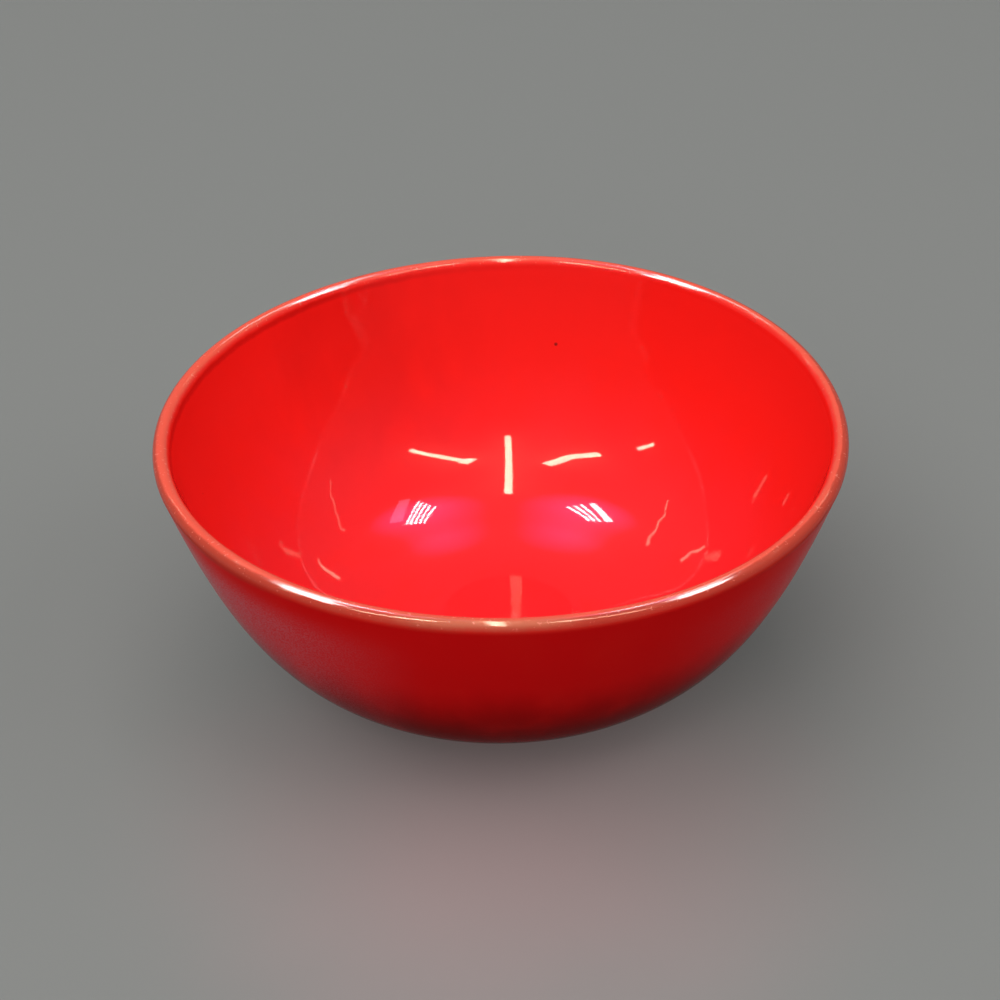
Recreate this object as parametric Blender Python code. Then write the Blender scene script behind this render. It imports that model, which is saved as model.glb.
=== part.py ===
"""Soup bowl of glazed stoneware, modelled as it is made: a turned clay body and the coats of glaze fired onto it.

Metres, +Z up. The origin is the centre of the foot ring, on the table. Every piece is a profile turned about Z.
A profile is a path through stops, each a point (radius, height) with the direction of travel there. It runs from
the centre of the floor up the inside, over the lip, down the outside and under the foot, so that the material
always lies to its right.
"""

import math

import bmesh
import bpy
from mathutils import Vector

# Bowl, measured over the glaze
RIM_DIAMETER = 0.160
BOWL_HEIGHT = 0.065
LIP_THICKNESS = 0.0038

# Outer wall: it spreads low from the heel and leans out at the lip. A reach is how far it holds each direction.
WALL_LEAN = math.radians(73.6)
WALL_LEAN_REACH = 0.051
HEEL_HEIGHT = 0.005
HEEL_SLOPE = math.radians(16)
HEEL_REACH = 0.018

# The wall thickens from the lip down to the heel, and the floor dishes from there to the centre
HEEL_THICKNESS = 0.0058
FLOOR_THICKNESS = 0.0044
FLOOR_REACH = 0.017

# Turned foot ring, bare clay where it stands, with a shallow well inside it
FOOT_DIAMETER = 0.069
FOOT_WIDTH = 0.005
FOOT_ROUNDING = 0.0007
FOOT_FILLET = 0.0012
HEEL_OVERHANG = 0.0014
WELL_DEPTH = 0.0026
WELL_FILLET = 0.0008

# Coats of glaze, with the gap at which each lies over the clay and the gap where two coats meet
GLAZE_THICKNESS = 0.0004
BOND_GAP = 0.0003
SEAM_GAP = 0.0003
LIP_BAND_INSIDE = 0.0034
LIP_BAND_OUTSIDE = 0.0028
BARE_HEEL = 0.0015
BARE_FOOT_EDGE = 0.0004

# Facets
TURN_STEPS = 48
WALL_STEPS = 10
FLOOR_STEPS = 6
LIP_STEPS = 4
FILLET_STEPS = 3
SHARP_ANGLE = math.radians(40)
MERGE_DISTANCE = 1e-6

# Fired colours, linear
RED_GLAZE = (0.62, 0.012, 0.010)
LIP_GLAZE = (0.66, 0.17, 0.085)
BUFF_CLAY = (0.50, 0.34, 0.21)

COAT = GLAZE_THICKNESS + BOND_GAP
FOOT_RADIUS = FOOT_DIAMETER / 2


def heading(angle):
    return Vector((math.cos(angle), math.sin(angle)))


def curve(start, start_handle, end_handle, end, steps):
    """Stops along a cubic curve, found by halving its handles down to one line, which gives the direction too."""
    stops = []
    for i in range(steps + 1):
        t = i / steps
        middle = start_handle.lerp(end_handle, t)
        before = start.lerp(start_handle, t).lerp(middle, t)
        after = middle.lerp(end_handle.lerp(end, t), t)
        stops.append((before.lerp(after, t), (after - before).normalized()))
    return stops


def arc(centre, radius, begin, end, steps):
    """Stops along a circle between two angles, travelling the way that they run."""
    quarter = math.copysign(math.pi / 2, end - begin)
    angles = [begin + (end - begin) * i / steps for i in range(steps + 1)]
    return [(centre + radius * heading(angle), heading(angle + quarter)) for angle in angles]


def back(path):
    return [(point, -direction) for point, direction in reversed(path)]


def buried(path, depth):
    """The points that lie a depth below a surface path, on the side of the material."""
    return [point + depth * Vector((direction.y, -direction.x)) for point, direction in path]


def length(path):
    return sum((b[0] - a[0]).length for a, b in zip(path, path[1:]))


def stretch(path, begin, end):
    """The part of a path between two distances along it."""
    kept = []
    travelled = 0.0
    for (point, direction), (following, turned) in zip(path, path[1:]):
        step = (following - point).length
        low = max(begin - travelled, 0.0) / step
        high = min(end - travelled, step) / step
        if low < high:
            if not kept:
                kept.append((point.lerp(following, low), direction.lerp(turned, low).normalized()))
            kept.append((point.lerp(following, high), direction.lerp(turned, high).normalized()))
        travelled += step
    return kept


def bowl_path():
    """Finished surface from the centre of the floor to the heel, and the distance along it to the top of the lip."""
    lip_radius = LIP_THICKNESS / 2
    lip_centre = Vector((RIM_DIAMETER / 2 - lip_radius, BOWL_HEIGHT - lip_radius))
    quarter = math.pi / 2
    lip_rise = arc(lip_centre, lip_radius, WALL_LEAN + quarter, quarter, LIP_STEPS)
    lip_turn = arc(lip_centre, lip_radius, quarter, 0.0, LIP_STEPS)
    lip_fall = arc(lip_centre, lip_radius, 0.0, WALL_LEAN - quarter, 1)
    lip = lip_rise + lip_turn[1:] + lip_fall[1:]

    heel = Vector((FOOT_RADIUS + HEEL_OVERHANG, HEEL_HEIGHT))
    wall_top = lip[-1][0]
    spread = heel + HEEL_REACH * heading(HEEL_SLOPE)
    outer = curve(heel, spread, wall_top - WALL_LEAN_REACH * heading(WALL_LEAN), wall_top, WALL_STEPS)

    inner = []
    for i, (point, direction) in enumerate(outer):
        t = i / WALL_STEPS
        thickening = (1 - t) ** 2 * (1 + 2 * t)
        thickness = LIP_THICKNESS + (HEEL_THICKNESS - LIP_THICKNESS) * thickening
        inner.append((point + thickness * Vector((-direction.y, direction.x)), direction))

    centre = Vector((0.0, WELL_DEPTH + FLOOR_THICKNESS))
    wall_base, rise = inner[0]
    floor_edge = wall_base - rise * (wall_base.y - centre.y) / rise.y
    floor = curve(centre, centre + FLOOR_REACH * heading(0.0), floor_edge, wall_base, FLOOR_STEPS)

    inside = floor[:-1] + inner[:-1]
    return inside + lip + back(outer)[1:], length(inside + lip_rise)


def well_path():
    """Finished surface of the well, from the inner side of the foot ring to the axis."""
    side = FOOT_RADIUS - FOOT_WIDTH - COAT
    fillet_centre = Vector((side - WELL_FILLET, WELL_DEPTH - WELL_FILLET))
    edge = (Vector((side, FOOT_ROUNDING + BARE_FOOT_EDGE)), heading(math.pi / 2))
    middle = (Vector((0.0, WELL_DEPTH)), heading(math.pi))
    return [edge] + arc(fillet_centre, WELL_FILLET, 0.0, math.pi / 2, FILLET_STEPS) + [middle]


def foot_points(heel):
    """Clay of the foot ring, from under the heel to its inner side: fillet, outer side, standing face."""
    fillet_radius = FOOT_RADIUS + FOOT_FILLET
    underside = heel.y - (heel.x - fillet_radius) * math.tan(HEEL_SLOPE)
    fillet_centre = Vector((fillet_radius, underside - FOOT_FILLET / math.cos(HEEL_SLOPE)))
    fillet = arc(fillet_centre, FOOT_FILLET, HEEL_SLOPE + math.pi / 2, math.pi, FILLET_STEPS)

    outer_centre = Vector((FOOT_RADIUS - FOOT_ROUNDING, FOOT_ROUNDING))
    inner_centre = Vector((FOOT_RADIUS - FOOT_WIDTH + FOOT_ROUNDING, FOOT_ROUNDING))
    outer_edge = arc(outer_centre, FOOT_ROUNDING, 0.0, -math.pi / 2, FILLET_STEPS)
    inner_edge = arc(inner_centre, FOOT_ROUNDING, -math.pi / 2, -math.pi, FILLET_STEPS)
    return [point for point, direction in fillet + outer_edge + inner_edge]


def coat(path):
    """Profile of one coat: its finished surface, and back along its underside over the clay."""
    return [point for point, direction in path] + buried(path, GLAZE_THICKNESS)[::-1]


def finish(name, colour, roughness):
    material = bpy.data.materials.new(name)
    material.use_nodes = True
    shader = material.node_tree.nodes["Principled BSDF"]
    shader.inputs["Base Color"].default_value = (*colour, 1.0)
    shader.inputs["Roughness"].default_value = roughness
    shader.inputs["Metallic"].default_value = 0.0
    return material


def turn(name, profile, material, parent):
    """Spin a closed profile about Z, leaving out any side of it that runs along the axis itself."""
    shape = bmesh.new()
    corners = [shape.verts.new((point.x, 0.0, point.y)) for point in profile]
    sides = zip(corners, corners[1:] + corners[:1])
    edges = [shape.edges.new(side) for side in sides if max(corner.co.x for corner in side) > MERGE_DISTANCE]
    bmesh.ops.spin(shape, geom=corners + edges, cent=(0, 0, 0), axis=(0, 0, 1), angle=math.tau,
                   steps=TURN_STEPS, use_merge=True)
    bmesh.ops.remove_doubles(shape, verts=shape.verts, dist=MERGE_DISTANCE)
    bmesh.ops.recalc_face_normals(shape, faces=shape.faces)

    mesh = bpy.data.meshes.new(name)
    shape.to_mesh(mesh)
    shape.free()
    mesh.shade_smooth()
    mesh.set_sharp_from_angle(angle=SHARP_ANGLE)
    mesh.materials.append(material)
    piece = bpy.data.objects.new(name, mesh)
    piece.parent = parent
    bpy.context.scene.collection.objects.link(piece)


for leftover in list(bpy.data.objects):
    bpy.data.objects.remove(leftover)

bowl = bpy.data.objects.new("soup_bowl", None)
bpy.context.scene.collection.objects.link(bowl)

surface, lip_top = bowl_path()
well = well_path()
inside_seam = lip_top - LIP_BAND_INSIDE
outside_seam = lip_top + LIP_BAND_OUTSIDE
glaze_line = length(surface) - BARE_HEEL

# Thrown and turned body: the buried surface of the bowl, the foot ring, and the buried surface of the well
clay = buried(surface, COAT)
clay_profile = clay + foot_points(clay[-1]) + buried(well, COAT)
turn("clay_body", clay_profile, finish("buff_clay", BUFF_CLAY, 0.8), bowl)

# Coat poured into the bowl
inside = stretch(surface, 0.0, inside_seam - SEAM_GAP / 2)
turn("inside_glaze", coat(inside), finish("red_glaze_inside", RED_GLAZE, 0.08), bowl)

# Band over the lip, where the coat runs thin
lip_band = stretch(surface, inside_seam + SEAM_GAP / 2, outside_seam - SEAM_GAP / 2)
turn("lip_glaze", coat(lip_band), finish("lip_glaze", LIP_GLAZE, 0.15), bowl)

# Coat on the outer wall, wiped off short of the heel
outside = stretch(surface, outside_seam + SEAM_GAP / 2, glaze_line)
turn("outside_glaze", coat(outside), finish("red_glaze_outside", RED_GLAZE, 0.1), bowl)

# Coat in the well under the bowl
turn("foot_well_glaze", coat(well), finish("red_glaze_well", RED_GLAZE, 0.12), bowl)
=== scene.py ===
"""Soup bowl of red glazed stoneware, dressed as it is made: the clay body, then its coats of glaze."""
import math

import bpy
import numpy as np
from mathutils import Matrix, Vector


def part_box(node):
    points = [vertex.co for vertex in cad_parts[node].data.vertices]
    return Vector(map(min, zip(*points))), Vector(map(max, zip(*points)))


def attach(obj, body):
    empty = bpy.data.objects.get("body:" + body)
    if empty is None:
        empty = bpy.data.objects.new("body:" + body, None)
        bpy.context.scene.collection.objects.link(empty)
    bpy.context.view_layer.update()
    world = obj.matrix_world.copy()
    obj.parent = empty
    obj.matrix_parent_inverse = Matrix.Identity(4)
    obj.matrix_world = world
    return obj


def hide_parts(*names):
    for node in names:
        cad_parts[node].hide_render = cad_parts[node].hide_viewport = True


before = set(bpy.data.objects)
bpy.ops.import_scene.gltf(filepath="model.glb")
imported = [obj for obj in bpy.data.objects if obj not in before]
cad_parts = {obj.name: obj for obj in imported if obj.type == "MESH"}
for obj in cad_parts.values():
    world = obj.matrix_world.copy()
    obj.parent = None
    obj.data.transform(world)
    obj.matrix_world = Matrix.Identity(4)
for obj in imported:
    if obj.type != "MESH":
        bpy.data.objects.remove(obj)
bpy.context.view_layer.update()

# Clay body: wall, floor and foot ring, thrown as one piece of buff stoneware and trimmed upside down once it
# is leather hard. It is bare at the heel and on the foot ring, where the turning tool has left fine rings
# and dragged grains of sand.
MM = 0.001
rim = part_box("lip_glaze")[1]
foot_radius = 34.5 * MM
foot_width = 5.0 * MM
foot_rounding = 0.7 * MM
foot_fillet = 1.2 * MM
heel = np.array([foot_radius + 1.4 * MM, 5.0 * MM])
heel_slope = math.radians(16)
heel_reach = 18.0 * MM
heel_thickness = 5.8 * MM
wall_lean = math.radians(73.6)
wall_lean_reach = 51.0 * MM
lip_thickness = 3.8 * MM
floor_reach = 17.0 * MM
floor_height = 7.0 * MM
well_depth = 2.6 * MM
well_lower_edge = 1.1 * MM
well_fillet = 0.8 * MM
glaze_thickness = 0.4 * MM
clay_depth = 0.42 * MM
well_inset = 0.7 * MM
quarter = math.pi / 2
around = np.linspace(0.0, math.tau, 288, endpoint=False)


def towards(angle):
    return np.array([math.cos(angle), math.sin(angle)])


def bow(start, start_pull, end_pull, end, steps):
    """Points of a cubic curve that leaves its start and reaches its end along the two pulls."""
    t = np.linspace(0.0, 1.0, steps + 1)[:, None]
    leaving = (1 - t) ** 3 * start + 3 * (1 - t) ** 2 * t * start_pull
    return leaving + 3 * (1 - t) * t ** 2 * end_pull + t ** 3 * end


def bend(centre, radius, begin, end, steps):
    return np.array([centre + radius * towards(angle) for angle in np.linspace(begin, end, steps + 1)])


class Section:
    """A line in the bowl's section, through points (radius, height), with clay or glaze on its right."""

    def __init__(self, *stretches):
        points = np.concatenate(stretches)
        apart = np.linalg.norm(np.diff(points, axis=0), axis=1) > 0.01 * MM
        self.points = points[np.concatenate([[True], apart])]
        steps = np.linalg.norm(np.diff(self.points, axis=0), axis=1)
        self.run = np.concatenate([[0.0], np.cumsum(steps)])
        self.length = self.run[-1]
        along = np.gradient(self.points, self.run, axis=0)
        along /= np.linalg.norm(along, axis=1, keepdims=True)
        self.face = np.stack([-along[:, 1], along[:, 0]], axis=1)

    def lifted(self, lift):
        return self.points + lift * self.face

    def turned(self, run, angle, lift):
        """Points at distances along the line, lifted off it and turned about the bowl's axis."""
        radius, height = (
            np.interp(run, self.run, self.points[:, i]) + lift * np.interp(run, self.run, self.face[:, i])
            for i in range(2)
        )
        return np.stack([radius * np.cos(angle), radius * np.sin(angle), height + 0 * angle], axis=-1)


def sway(angle, cosine):
    """How far the mouth is drawn out and up off round, in millimetres, as clay does while it dries."""
    pull = 0.17 * cosine(angle + 0.75) + 0.28 * cosine(2 * angle + 1.45)
    pull = pull + 0.37 * cosine(3 * angle + 2.38) - 0.12
    lift = 0.32 * cosine(2 * angle - 2.07) + 0.23 * cosine(3 * angle - 1.54)
    return pull, lift


def swayed(rings):
    """Rings of points with the mouth's sway, which dies out towards the foot."""
    pull, lift = sway(np.arctan2(rings[..., 1], rings[..., 0]), np.cos)
    height = rings[..., 2]
    rise = MM * np.clip(height / rim.z, 0.0, 1.0) ** 3
    stretch = 1.0 + rise * pull / rim.x
    return np.stack([rings[..., 0] * stretch, rings[..., 1] * stretch, height + rise * lift], axis=-1)


def facing(rings, run):
    """Outward directions of a surface given as rings of points, at mean distances along its section."""
    along = np.gradient(rings, run, axis=0)
    across = np.roll(rings, -1, axis=1) - np.roll(rings, 1, axis=1)
    outward = np.cross(along, across)
    size = np.linalg.norm(outward, axis=2, keepdims=True)
    upright = np.sign(along[..., :1]) * np.array([0.0, 0.0, 1.0])
    return np.where(size > 1e-12, outward / np.maximum(size, 1e-12), upright)


def turned_piece(name, rings, outward, material):
    """A closed mesh through rings of points, each joined to the next and the last to the first."""
    corners = []
    normals = []
    index = np.zeros(rings.shape[:2], int)
    for i, ring in enumerate(rings):
        on_axis = np.hypot(ring[:, 0], ring[:, 1]).max() < 1e-7
        count = 1 if on_axis else len(ring)
        index[i] = len(corners) + (0 if on_axis else np.arange(count))
        corners += ring[:count].tolist()
        normals += outward[i, :count].tolist()

    faces = []
    for low, high in zip(index, np.roll(index, -1, axis=0)):
        quads = zip(low, high, np.roll(high, -1), np.roll(low, -1))
        sides = (list(dict.fromkeys(int(corner) for corner in quad)) for quad in quads)
        faces += [side for side in sides if len(side) > 2]

    mesh = bpy.data.meshes.new(name)
    mesh.from_pydata(corners, [], faces)
    mesh.validate()
    mesh.shade_smooth()
    mesh.normals_split_custom_set_from_vertices(normals)
    mesh.materials.append(material)
    piece = bpy.data.objects.new(name, mesh)
    bpy.context.scene.collection.objects.link(piece)
    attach(piece, "root")
    return piece


class Shade:
    """One value in a material, read from a node's socket. Sums and products of shades add Math nodes."""

    def __init__(self, socket):
        self.socket = socket

    def node(self, kind, settings, inputs, output=0):
        """Another node of this material: its settings are made first, then its inputs are set or linked."""
        tree = self.socket.id_data
        node = tree.nodes.new("ShaderNode" + kind)
        for name, setting in settings.items():
            setattr(node, name, setting)
        for name, value in inputs.items():
            if isinstance(value, Shade):
                tree.links.new(value.socket, node.inputs[name])
            else:
                node.inputs[name].default_value = value
        return Shade(node.outputs[output])

    def math(self, operation, other=0.0):
        return self.node("Math", {"operation": operation}, {0: self, 1: other})

    def __add__(self, other):
        return self.math("ADD", other)

    def __sub__(self, other):
        return self.math("SUBTRACT", other)

    def __rsub__(self, other):
        return -1.0 * self + other

    def __mul__(self, other):
        return self.math("MULTIPLY", other)

    __radd__ = __add__
    __rmul__ = __mul__

    def cosine(self):
        return self.math("COSINE")

    def larger(self, other):
        return self.math("MAXIMUM", other)

    def rising(self, low, high):
        """0 below low and 1 above high, with a smooth step between. It falls where high is the lower one."""
        step = {"interpolation_type": "SMOOTHSTEP"}
        return self.node("MapRange", step, {"Value": self, "From Min": low, "From Max": high})

    def noise(self, size, detail=2.0):
        """Cloudy noise about this place, with patches of about that size."""
        return self.node("TexNoise", {}, {"Vector": self, "Scale": 1 / size, "Detail": detail})

    def scaled(self, *factors):
        return self.node("VectorMath", {"operation": "MULTIPLY"}, {0: self, 1: factors})

    def distance(self, spot):
        return self.node("VectorMath", {"operation": "DISTANCE"}, {0: self, 1: spot}, output=1)

    def mixed(self, one, other):
        """A colour between two, by this share of the other."""
        return self.node("Mix", {"data_type": "RGBA"}, {0: self, 6: one, 7: other}, output=2)


def new_finish(name):
    """A material, its shader's sockets and the place on the bowl in millimetres."""
    material = bpy.data.materials.new(name)
    material.use_nodes = True
    tree = material.node_tree
    place = Shade(tree.nodes.new("ShaderNodeTexCoord").outputs["Object"])
    return material, tree.nodes["Principled BSDF"].inputs, place.scaled(1 / MM, 1 / MM, 1 / MM)


def feed(socket, shade):
    socket.id_data.links.new(shade.socket, socket)


def roughen(sockets, height):
    """Shade small relief, with its height in millimetres."""
    feed(sockets["Normal"], height.node("Bump", {}, {"Height": height, "Distance": MM}))


# Section of the finished bowl: from the centre of its floor up the inside, over the lip and down the outside
# to the heel
lip_centre = np.array([rim.x, rim.z]) - lip_thickness / 2
wall_top = lip_centre + lip_thickness / 2 * towards(wall_lean - quarter)
heel_pull = heel + heel_reach * towards(heel_slope)
lean_pull = wall_top - wall_lean_reach * towards(wall_lean)
outer_wall = Section(bow(heel, heel_pull, lean_pull, wall_top, 600))
up_wall = np.linspace(1.0, 0.0, 601)
thickness = lip_thickness + (heel_thickness - lip_thickness) * up_wall ** 2 * (3 - 2 * up_wall)
inner_wall = outer_wall.lifted(thickness[:, None])
centre = np.array([0.0, floor_height])
wall_base = inner_wall[0]
floor_edge = wall_base - towards(heel_slope) * (wall_base[1] - centre[1]) / math.sin(heel_slope)
dished_floor = bow(centre, centre + floor_reach * towards(0.0), floor_edge, wall_base, 400)
rounded_lip = bend(lip_centre, lip_thickness / 2, wall_lean + quarter, wall_lean - quarter, 120)
bowl = Section(dished_floor, inner_wall, rounded_lip, outer_wall.points[::-1])
to_crest = bowl.run[np.argmax(bowl.points[:, 1])]

# Section of the well, from the inner side of the foot ring to the axis
well_side = foot_radius - foot_width - well_inset
well_edge = np.array([well_side, well_lower_edge])
well_corner = np.array([well_side - well_fillet, well_depth - well_fillet])
well_curve = bend(well_corner, well_fillet, 0.0, quarter, 40)
well_flat = np.linspace(well_curve[-1], [0.0, well_depth], 60)
well = Section(np.linspace(well_edge, well_curve[0], 20), well_curve, well_flat)

# Section of the clay: under the coats, then bare over the heel and round the foot ring
under_bowl = bowl.lifted(-clay_depth)
under_well = well.lifted(-clay_depth)
clay_heel = under_bowl[-1]
fillet_radius = foot_radius + foot_fillet
underside = clay_heel[1] - (clay_heel[0] - fillet_radius) * math.tan(heel_slope)
fillet_centre = np.array([fillet_radius, underside - foot_fillet / math.cos(heel_slope)])
fillet = bend(fillet_centre, foot_fillet, heel_slope + quarter, math.pi, 30)
outer_edge_centre = np.array([foot_radius - foot_rounding, foot_rounding])
outer_edge = bend(outer_edge_centre, foot_rounding, 0.0, -quarter, 20)
inner_edge_centre = np.array([foot_radius - foot_width + foot_rounding, foot_rounding])
inner_edge = bend(inner_edge_centre, foot_rounding, -quarter, -math.pi, 20)
foot_side = np.linspace(fillet[-1], outer_edge[0], 20)
standing_face = np.linspace(outer_edge[-1], inner_edge[0], 30)
clay = Section(under_bowl, fillet, foot_side, outer_edge, standing_face, inner_edge, under_well)

bare_begin = Section(under_bowl).length - 3.0 * MM
bare_end = clay.length - Section(under_well).length + 1.0 * MM
clay_runs = np.concatenate([
    np.linspace(0.0, bare_begin, 90, endpoint=False),
    np.linspace(bare_begin, bare_end, 150, endpoint=False),
    np.linspace(bare_end, clay.length, 24),
])
turning_pitch = 0.75 * MM
turning_depth = 0.035 * MM
bare = np.interp(clay_runs, [bare_begin, bare_begin + MM, bare_end - MM, bare_end], [0.0, 1.0, 1.0, 0.0])
tool_path = math.tau * clay_runs[:, None] / turning_pitch + around
chatter = 0.6 + 0.4 * np.sin(7 * around + 0.35 * tool_path)
turning = -turning_depth * bare[:, None] * chatter * (0.5 + 0.5 * np.cos(tool_path)) ** 3
clay_rings = swayed(clay.turned(clay_runs[:, None], around, turning))

clay_colour = (0.50, 0.34, 0.21, 1.0)
clay_toasted = (0.40, 0.235, 0.125, 1.0)
clay_sand = (0.66, 0.52, 0.36, 1.0)
clay_iron = (0.10, 0.055, 0.035, 1.0)
buff_clay, sockets, place = new_finish("buff_clay")
toasting = place.noise(9.0, detail=4.0).rising(0.42, 0.68)
sand = place.noise(0.45).rising(0.60, 0.72)
iron = place.noise(0.7, detail=1.0).rising(0.735, 0.78)
sanded = sand.mixed(toasting.mixed(clay_colour, clay_toasted), clay_sand)
feed(sockets["Base Color"], iron.mixed(sanded, clay_iron))
feed(sockets["Roughness"], 0.88 - 0.12 * toasting - 0.08 * sand)
roughen(sockets, 0.03 * place.noise(0.35, detail=3.0) + 0.02 * sand)

clay_piece = turned_piece("clay", clay_rings, facing(clay_rings, clay_runs), buff_clay)
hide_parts("clay_body")

# Inside glaze: a thick glassy coat of orange-red, poured in, swilled up to the lip and poured out again.
# It fires smooth over faint throwing rings and paler where it runs thin. Low in the bowl it is painted a
# little pinker as glare of its brightly lit floor. Painted shade darkens a band under the lip on the left
# and a patch at the back left.
lip_band_inside = 3.4 * MM
lip_band_outside = 2.8 * MM
bare_heel = 1.5 * MM
glaze_roll = 0.5 * MM
edge_bulge = 0.14 * MM
edge_bulge_reach = 1.1 * MM
slow_wander = 0.22 * MM
quick_wander = 0.13 * MM
throwing_depth = 0.006 * MM
fine_throwing = 1.9 * MM
wide_throwing = 3.1 * MM
still_centre = 12 * MM
still_lip = 8 * MM
roll_depth = 0.05 * MM
roll_drop = 3.5 * MM
roll_wander = 0.15 * MM
roll_reach = 0.45 * MM
inside_seam = to_crest - lip_band_inside
outside_seam = to_crest + lip_band_outside
inside_rings = 150
lip_rings = 44
outside_rings = 110
edge_rings = 8


def unevenness(run, angle):
    """How far hands and fire leave the surface off true: throwing rings, and a roll under the lip."""
    from_crest = run - to_crest
    fine_rings = throwing_depth * np.sin(run / fine_throwing + angle)
    wide_rings = throwing_depth * np.sin(run / wide_throwing - 2 * angle + 1.0)
    rings = (fine_rings + wide_rings) * np.clip(run / still_centre, 0.0, 1.0) ** 2
    from_roll = from_crest - roll_drop - roll_wander * np.sin(5 * angle)
    roll = roll_depth * np.exp(-(from_roll / roll_reach) ** 2)
    return rings * np.clip(abs(from_crest) / still_lip, 0.0, 1.0) + roll


coat_length = bowl.length - bare_heel
glaze_line = coat_length + slow_wander * np.sin(3 * around + 0.4) + quick_wander * np.sin(8 * around)
coat_runs = np.concatenate([
    np.linspace(0.0, inside_seam, inside_rings, endpoint=False),
    np.linspace(inside_seam, outside_seam, lip_rings, endpoint=False),
    np.linspace(outside_seam, coat_length, outside_rings),
])[:, None] + 0 * around
outside_share = np.clip((coat_runs - outside_seam) / (coat_length - outside_seam), 0.0, 1.0)
coat_runs = coat_runs + outside_share ** 8 * (glaze_line - coat_length)
thick_edge = edge_bulge * np.exp(-((coat_runs - glaze_line) / edge_bulge_reach) ** 2)
coat_lift = unevenness(coat_runs, around) + thick_edge
rolling = np.linspace(0.0, quarter, edge_rings + 1)[1:, None]
rolled_runs = glaze_line + glaze_roll * np.sin(rolling)
edge_lift = coat_lift[-1] - (coat_lift[-1] + glaze_thickness) * (1 - np.cos(rolling))
coat_runs = np.concatenate([coat_runs, rolled_runs])
coat_rings = swayed(bowl.turned(coat_runs, around, np.concatenate([coat_lift, edge_lift])))
coat_outward = facing(coat_rings, coat_runs.mean(axis=1))
coat_back = swayed(bowl.turned(coat_runs, around, -glaze_thickness))


def coat_piece(name, first, last, material):
    """One coat as a closed shell: its fired face between two rings, and back along its underside."""
    face = slice(first, last + 1)
    rings = np.concatenate([coat_rings[face], coat_back[face][::-1]])
    outward = np.concatenate([coat_outward[face], -coat_outward[face][::-1]])
    return turned_piece(name, rings, outward, material)


red = (0.84, 0.0125, 0.0095, 1.0)
# Painted glare: a pinker red for low in the bowl, where its floor is brightest lit
glare_pink_red = (0.80, 0.0170, 0.0210, 1.0)
crimson = (0.84, 0.0055, 0.0065, 1.0)
thin_red = (0.86, 0.0130, 0.0090, 1.0)
# A deep red used as painted shade: low on the outer wall, partly thicker glaze and partly painted shade, and
# in the painted shade inside
deep_shade_red = (0.22, 0.0014, 0.0014, 1.0)
thin_orange = (0.84, 0.042, 0.028, 1.0)
broken_orange = (0.78, 0.094, 0.056, 1.0)
rust = (0.50, 0.054, 0.030, 1.0)
worn_buff = (0.56, 0.125, 0.068, 1.0)
pale_fleck = (0.86, 0.26, 0.19, 1.0)
# Painted sheen: a pale pink that stands in for the grazing reflection on the outer wall
painted_sheen_pink = (0.62, 0.22, 0.27, 1.0)
iron_black = (0.030, 0.008, 0.006, 1.0)
iron_spot = (15.1, 68.0, 44.3)
rubbed_spot = (-4.0, -78.0, 65.0)
# Centre of a painted shade patch on the wall at the back left
painted_shade_spot = (-36.0, 60.0, 47.0)


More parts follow.
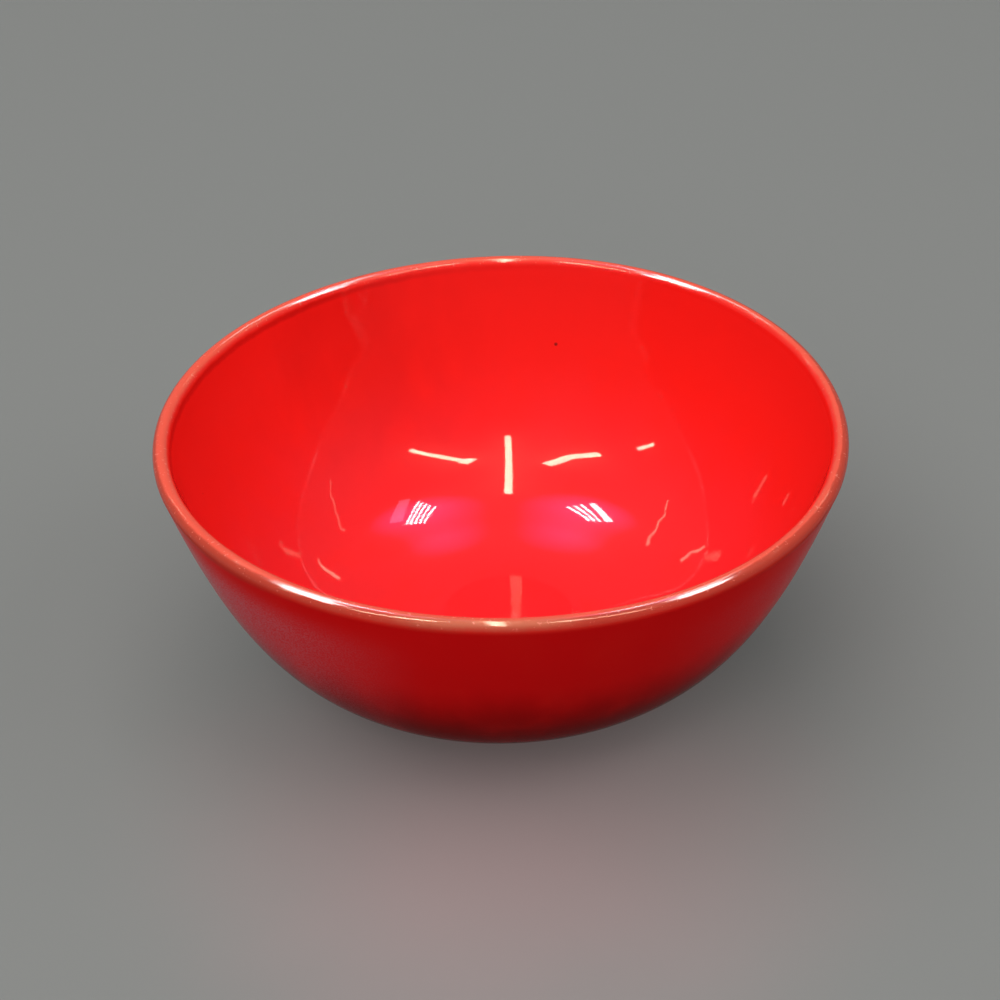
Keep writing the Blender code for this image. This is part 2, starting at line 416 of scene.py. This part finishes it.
def red_glaze(name, high, low, roughness, grain_and_sheen):
    """Glaze of one colour high on the wall and another low down, which breaks to orange at the lip."""
    material, sockets, place = new_finish(name)
    east, north, height = (place.node("SeparateXYZ", {}, {0: place}, output=i) for i in range(3))
    radius = place.node("VectorMath", {"operation": "LENGTH"}, {0: place.scaled(1.0, 1.0, 0.0)}, output=1)

    pull, lift = sway(north.math("ARCTAN2", east), Shade.cosine)
    lip_radius = lip_thickness / 2 / MM
    across = radius - lip_centre[0] / MM - pull
    above = height - lip_centre[1] / MM - lift
    over_lip = across.math("ABSOLUTE").math("ARCTAN2", above.larger(0.0))
    ragged = 0.6 * (place.noise(2.6, detail=3.0) - 0.5) + 0.8 * (place.noise(11.0) - 0.5) - 0.005 * east
    from_crest = lip_radius * over_lip + (-1.0 * above).larger(0.0) - ragged
    outside = across.rising(-0.5, 0.5)
    aside = outside * (east * east).rising(1000.0, 6000.0)

    flow = place.scaled(1.0, 1.0, 0.35).noise(13.0, detail=3.0)
    rings = place.node("CombineXYZ", {}, {0: radius, 1: 1.3 * height, 2: 2.0 * flow}).noise(3.2)
    thin = (0.75 * flow + 0.25 * rings).rising(0.46, 0.80)
    # Low on the wall the second colour takes over: outside a darker red, partly thicker glaze and partly
    # painted shade of the lower wall; inside a pinker red, painted glare of the brightly lit floor
    low_on_wall = (height + 10.0 * (flow - 0.5)).rising(45.0, 19.0)
    full = (0.4 * thin).mixed(low_on_wall.mixed(high, low), thin_red)

    break_end = 2.9 + 1.3 * outside + 2.6 * aside
    broken = from_crest.rising(break_end, 1.1 + 0.4 * outside)
    ridge = from_crest.rising(1.6 - 0.6 * outside, 0.8 - 0.5 * outside)
    below_lip = from_crest.rising(2.0, 2.8) * from_crest.rising(4.2, 3.2)
    # Painted shade: a darker band just under the lip on the inside, on the left side only
    painted_lip_shade = east.rising(30.0, -70.0) * (1.0 - outside) * below_lip
    from_rub = place.distance(rubbed_spot)
    rubbed = (from_rub + 16.0 * (place.noise(5.0, detail=3.0) - 0.5)).rising(24.0, 9.0)
    worn = rubbed * from_crest.rising(3.2, 1.3) * across.rising(-0.5, 0.8)
    flecks = place.noise(0.8, detail=1.0).rising(0.66, 0.74) * from_crest.rising(3.2, 1.6)
    flank = ridge.mixed(outside.mixed(thin_orange, rust), broken_orange)
    lip = (0.5 * flecks).mixed(worn.mixed(flank, worn_buff), pale_fleck)

    # Painted shade: the wall is painted a deeper red in a cloudy patch at the back left
    painted_back_shade = (place.distance(painted_shade_spot) + 40.0 * (flow - 0.5)).rising(36.0, 6.0)
    # Painted sheen: speckled pale pink painted on the lower wall towards the sides, most on the left, in
    # place of a grazing reflection
    painted_sheen_sides = east.rising(-15.0, -70.0) + 0.3 * east.rising(30.0, 75.0)
    sheen_specks = 0.25 + 0.40 * place.noise(0.38, detail=1.0).rising(0.40, 0.62)
    painted_sheen = 100.0 * grain_and_sheen * sheen_specks * painted_sheen_sides * height.rising(61.0, 50.0)
    body = painted_sheen.mixed((0.35 * painted_lip_shade + 0.16 * painted_back_shade).mixed(full, deep_shade_red), painted_sheen_pink)
    coloured = broken.larger(worn).mixed(body, lip)

    cell = {"Vector": place, "Scale": 1 / 11.0}
    speck_distance = place.node("TexVoronoi", {}, cell)
    speck_kind = place.node("SeparateColor", {}, {0: place.node("TexVoronoi", {}, cell, output=1)})
    scattered = speck_distance.rising(0.030, 0.014) * speck_kind.rising(0.55, 0.60)
    specks = (0.7 * scattered).larger(0.8 * place.distance(iron_spot).rising(0.65, 0.15))
    feed(sockets["Base Color"], specks.mixed(coloured, iron_black))

    peel = place.noise(1.7)
    fine = place.noise(0.5, detail=1.0)
    pits = place.noise(0.9, detail=1.0).rising(0.70, 0.80) * broken
    feed(sockets["Roughness"], roughness + 0.03 * fine + 0.02 * broken + 0.15 * pits)
    roughen(sockets, 0.002 * peel + grain_and_sheen * fine + 0.004 * broken * place.noise(0.8) - 0.05 * pits)
    sockets["Coat Roughness"].default_value = 0.28
    return material, sockets


inside_material, sockets = red_glaze("red_glaze_inside", red, glare_pink_red, 0.015, 0.0002)
sockets["IOR"].default_value = 1.27
sockets["Coat Weight"].default_value = 0.06
inside_piece = coat_piece("inside_coat", 0, inside_rings, inside_material)
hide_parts("inside_glaze")

# Lip glaze: the same coat where it runs thin over the rounded lip and fires to orange-buff.
# Use has rubbed its crest, so it is a little duller than the rest, with small pits and paler patches.
lip_material, sockets = red_glaze("lip_glaze", red, glare_pink_red, 0.06, 0.0010)
sockets["IOR"].default_value = 1.36
lip_piece = coat_piece("lip_coat", inside_rings, inside_rings + lip_rings, lip_material)
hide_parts("lip_glaze")

# Outside glaze: the coat over the outer wall, poured with the bowl held by its foot and wiped off above the
# heel. Its skin is grainier than the inside, and its lower edge draws up into a rounded roll on the clay. A
# speckled pale pink sheen is painted on its lower wall, most on the left, and it darkens towards the heel,
# partly as thicker glaze and partly as painted shade.
last_ring = len(coat_rings) - 1
outside_material, sockets = red_glaze("red_glaze_outside", crimson, deep_shade_red, 0.13, 0.0100)
sockets["IOR"].default_value = 1.05
outside_piece = coat_piece("outside_coat", inside_rings + lip_rings, last_ring, outside_material)
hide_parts("outside_glaze")

# Well glaze: the coat in the shallow well inside the foot ring, brushed on last with the bowl upside down.
# It ends in a roll just short of the standing face, which stays bare so that the bowl doesn't stick in the
# kiln.
well_begin = 0.5 * MM
well_corner_end = 6.0 * MM
well_roll = 0.4 * MM
well_still_centre = 4 * MM
well_ring_depth = 0.03 * MM
well_wander = 0.02 * MM
well_runs = np.concatenate([
    np.linspace(well_begin, well_corner_end, 30, endpoint=False),
    np.linspace(well_corner_end, well.length, 60),
])
well_lift = well_ring_depth * np.sin(well_runs / fine_throwing)[:, None] + well_wander * np.sin(3 * around)
well_lift = well_lift * np.clip((well.length - well_runs) / well_still_centre, 0.0, 1.0)[:, None]
unrolling = np.linspace(quarter, 0.0, edge_rings + 1)[:-1, None]
well_edge_lift = well_lift[0] - (well_lift[0] + glaze_thickness) * (1 - np.cos(unrolling))
well_all_runs = np.concatenate([well_begin - well_roll * np.sin(unrolling[:, 0]), well_runs])
well_rings = well.turned(well_all_runs[:, None], around, np.concatenate([well_edge_lift, well_lift]))
well_back = well.turned(well_all_runs[:, None], around, -glaze_thickness)
well_outward = facing(well_rings, well_all_runs)
well_shell = np.concatenate([well_rings, well_back[::-1]])
well_shell_outward = np.concatenate([well_outward, -well_outward[::-1]])
well_material, sockets = red_glaze("red_glaze_well", red, glare_pink_red, 0.12, 0.0030)
sockets["IOR"].default_value = 1.27
well_piece = turned_piece("well_coat", well_shell, well_shell_outward, well_material)
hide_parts("foot_well_glaze")

# Floor: a plain grey sheet that the bowl stands on, matt, with a warmer patch painted in front of the bowl
# as the red light that the bowl throws on it.
# Part of its grey is its own glow, so that the bowl's shadow on it stays pale.
floor_size = 6.0
floor_grey = (0.158, 0.162, 0.156, 1.0)
painted_bounce_grey = (0.230, 0.176, 0.174, 1.0)
floor_glow = 0.33
bounce_spot = (0.0, -70.0, 0.0)
bounce_reach = 98.0


def seen_by(tree):
    """1 to the camera and to what mirrors or shows the scene, and 0 to light on its way."""
    rays = tree.nodes.new("ShaderNodeLightPath").outputs
    seen, mirrored, shown = (Shade(rays[f"Is {kind} Ray"]) for kind in ("Camera", "Glossy", "Transmission"))
    return seen.larger(mirrored).larger(shown)


sheet = bpy.data.meshes.new("floor")
half = floor_size / 2
corners = [(-half, -half, 0), (half, -half, 0), (half, half, 0), (-half, half, 0)]
sheet.from_pydata(corners, [], [(0, 1, 2, 3)])
grey_sheet, sockets, place = new_finish("grey_sheet")
from_bowl = place.distance(bounce_spot)
# Painted bounce light: the floor is painted warmer and redder in a cloudy patch in front of the bowl
near = (from_bowl + 30.0 * (place.noise(60.0, detail=3.0) - 0.5)).rising(bounce_reach, 0.0)
grey = near.mixed(floor_grey, painted_bounce_grey)
feed(sockets["Base Color"], grey)
feed(sockets["Emission Color"], seen_by(grey_sheet.node_tree).mixed((0.0, 0.0, 0.0, 1.0), grey))
sockets["Emission Strength"].default_value = floor_glow
sockets["Roughness"].default_value = 0.9
sockets["Specular IOR Level"].default_value = 0.1
sheet.materials.append(grey_sheet)
floor = bpy.data.objects.new("floor", sheet)
bpy.context.scene.collection.objects.link(floor)

# Lamps: warm strip lamps and two white slatted panels overhead, which show in the glaze, and wide soft lamps
# that light the bowl. Places overhead are in metres from the bowl's axis.
lamp_height = 1.8
warm = (1.0, 0.94, 0.68)
white = (0.98, 1.0, 1.0)
violet = (0.35, 0.17, 1.0)
pink = (1.0, 0.55, 1.0)


def lamp(name, begin, end, width, brightness, colour):
    """A flat strip facing down, from one place overhead to another, so many times as bright as white."""
    begin, end = Vector((*begin, lamp_height)), Vector((*end, lamp_height))
    light = bpy.data.lights.new(name, "AREA")
    light.shape = "RECTANGLE"
    light.size = (end - begin).length
    light.size_y = width
    light.color = colour
    light.energy = brightness * math.pi * light.size * light.size_y
    strip = bpy.data.objects.new(name, light)
    strip.location = (begin + end) / 2
    strip.rotation_euler = (0.0, 0.0, math.atan2(end.y - begin.y, end.x - begin.x))
    strip.visible_diffuse = False
    bpy.context.scene.collection.objects.link(strip)
    return strip


tube_brightness = 60.0
middle_width = 0.088
middle_taper = 0.011
middle_begin = Vector((-0.113, -1.52))
middle_end = Vector((-0.031, 0.48))
segments = 5
for i in range(segments):
    segment_begin = middle_begin.lerp(middle_end, i / segments)
    segment_end = middle_begin.lerp(middle_end, (i + 1) / segments)
    segment_width = middle_width - middle_taper * i
    lamp(f"tube_middle_{i}", segment_begin, segment_end, segment_width, tube_brightness, warm)


def tube(name, places, width, brightness):
    """A strip lamp that bends from place to place."""
    for i, (begin, end) in enumerate(zip(places, places[1:])):
        lamp(f"{name}_{i}", begin, end, width, brightness, warm)


tube("tube_right", [(1.37, -1.14), (0.75, -0.87), (0.30, -0.625)], 0.090, tube_brightness)
tube("tube_right_end", [(0.41, -0.675), (0.29, -0.615)], 0.180, tube_brightness)
tube("tube_left", [(-0.43, -0.455), (-0.82, -0.76), (-1.37, -0.85)], 0.130, tube_brightness)
tube("tube_far_left", [(-2.50, -0.90), (-3.40, -0.95)], 0.100, tube_brightness)
back_right = [
    (3.07, 0.02), (2.45, 0.40), (2.21, 0.44), (1.80, 0.70), (1.67, 0.72), (1.30, 1.00), (1.14, 1.04),
]
back_left = [
    (-1.85, 0.61), (-1.52, 0.78), (-1.36, 0.92), (-1.08, 1.04), (-0.92, 1.21), (-0.75, 1.34), (-0.70, 1.47),
]
back_right_low = [(1.45, 1.85), (1.29, 1.93), (0.98, 1.97), (0.85, 2.02)]
back_left_low = [(-1.08, 1.95), (-1.48, 1.94), (-1.80, 2.12), (-2.24, 2.28)]
dim = 0.18 * tube_brightness
tube("tube_back_right", back_right, 0.032, 0.11 * tube_brightness)
tube("tube_back_left", back_left, 0.032, dim)
tube("tube_back_right_low", back_right_low, 0.060, dim)
tube("tube_back_left_low", back_left_low, 0.060, dim)

panel_brightness = 95.0
slat_share = 0.42


def panel(name, near, far, slats):
    """Bright slats side by side, which run overhead from one side to another, each given by its two ends."""
    near = [Vector(end) for end in near]
    far = [Vector(end) for end in far]
    halfway = [(near[i] + far[i]) / 2 for i in range(2)]
    for half, begin, end in (("near", near, halfway), ("far", halfway, far)):
        along = (end[0] + end[1] - begin[0] - begin[1]).normalized()
        pitch = (abs(along.cross(begin[1] - begin[0])) + abs(along.cross(end[1] - end[0]))) / 2 / slats
        for i in range(slats):
            share = (i + 0.5) / slats
            middles = begin[0].lerp(begin[1], share), end[0].lerp(end[1], share)
            lamp(f"{name}_{half}_{i}", *middles, slat_share * pitch, panel_brightness, white)


panel("panel_right", [(0.51, 0.49), (0.32, 0.70)], [(0.46, 0.985), (0.34, 0.968)], 5)
panel("panel_left", [(-0.29, 0.78), (-0.425, 0.70)], [(-0.375, 0.995), (-0.46, 1.03)], 3)
lamp("panel_left_end", (-0.490, 0.665), (-0.503, 1.03), 0.055, 0.7 * panel_brightness, white)
lamp("panel_right_ghost", (0.645, 0.42), (0.535, 0.93), 0.10, 0.08 * panel_brightness, pink)

glow_reach = 0.38
glow_brightness = 8.0
for side, overhead in (("right", (0.44, 0.74)), ("left", (-0.43, 0.78))):
    glow_centre = Vector((*overhead, lamp_height))
    glow_end = (overhead[0], overhead[1] + 2 * glow_reach)
    glow = lamp(f"panel_{side}_glow", overhead, glow_end, 2 * glow_reach, glow_brightness, violet)
    glow.location = glow_centre
    glow.rotation_euler = glow_centre.to_track_quat("Z", "Y").to_euler()
    half_spread = math.atan(glow_reach / glow_centre.length)
    glow.data.spread = 2 * half_spread
    glow.data.energy *= 1 - half_spread / math.tan(half_spread)

# Streaks on the lip: these lamps light its crest alone
lip_only = bpy.data.collections.new("lip_only")
lip_only.objects.link(lip_piece)
streaks = [
    lamp("streak_left_high", (-0.43, 1.60), (-0.68, 0.80), 0.22, 14.0, white),
    lamp("streak_left_near", (-0.68, 0.80), (-1.15, 0.10), 0.34, 50.0, white),
    lamp("streak_left_low", (-1.10, 0.15), (-1.85, -0.60), 0.60, 50.0, white),
    lamp("streak_right_high", (0.48, 1.60), (0.80, 0.60), 0.22, 14.0, white),
    lamp("streak_right_near", (0.80, 0.55), (1.10, 0.10), 0.30, 50.0, white),
    lamp("streak_right_low", (1.05, 0.15), (1.75, -0.55), 0.55, 50.0, white),
]
for streak in streaks:
    streak.light_linking.receiver_collection = lip_only


def soft_lamp(name, place, size, brightness):
    """A wide square lamp that faces the bowl and doesn't show in the glaze."""
    light = bpy.data.lights.new(name, "AREA")
    light.size = size
    light.energy = brightness * math.pi * size ** 2
    square = bpy.data.objects.new(name, light)
    square.location = place
    square.rotation_euler = Vector(place).to_track_quat("Z", "Y").to_euler()
    square.visible_glossy = False
    bpy.context.scene.collection.objects.link(square)


soft_lamp("soft_top", (-0.6, -0.2, 2.2), 3.2, 2.3)
soft_lamp("soft_front", (-0.6, -1.83, 1.45), 1.4, 2.4)
soft_lamp("soft_right", (1.9, -0.4, 1.45), 1.8, 1.75)

# Room: a plain pale room about the bowl. It gives little light of its own, and shows as an even grey where
# the glaze mirrors it.
room_light = 0.07
room_shown = 0.13
room = bpy.data.worlds.new("room")
room.use_nodes = True
air = room.node_tree.nodes["Background"].inputs
air["Color"].default_value = (0.97, 0.98, 1.0, 1.0)
feed(air["Strength"], room_light + room_shown * seen_by(room.node_tree))
bpy.context.scene.world = room

# Camera: it looks along +Y and down into the bowl through a long lens, at a set distance from a point in the
# bowl, and is tipped a little about its own line of sight.
sight = Vector((-0.54 * MM, 0.0, 42.1 * MM))
distance = 0.560
elevation = math.radians(34.14)
tip = math.radians(-1.64)
photographer = bpy.data.cameras.new("camera")
photographer.sensor_fit = "HORIZONTAL"
photographer.sensor_width = 36.0
photographer.lens = 85.39
camera = bpy.data.objects.new("camera", photographer)
stand = Matrix.Translation(sight) @ Matrix.Rotation(quarter - elevation, 4, "X")
camera.matrix_world = stand @ Matrix.Translation((0.0, 0.0, distance)) @ Matrix.Rotation(tip, 4, "Z")
bpy.context.scene.collection.objects.link(camera)
bpy.context.scene.camera = camera
bpy.context.scene.view_settings.view_transform = "Standard"
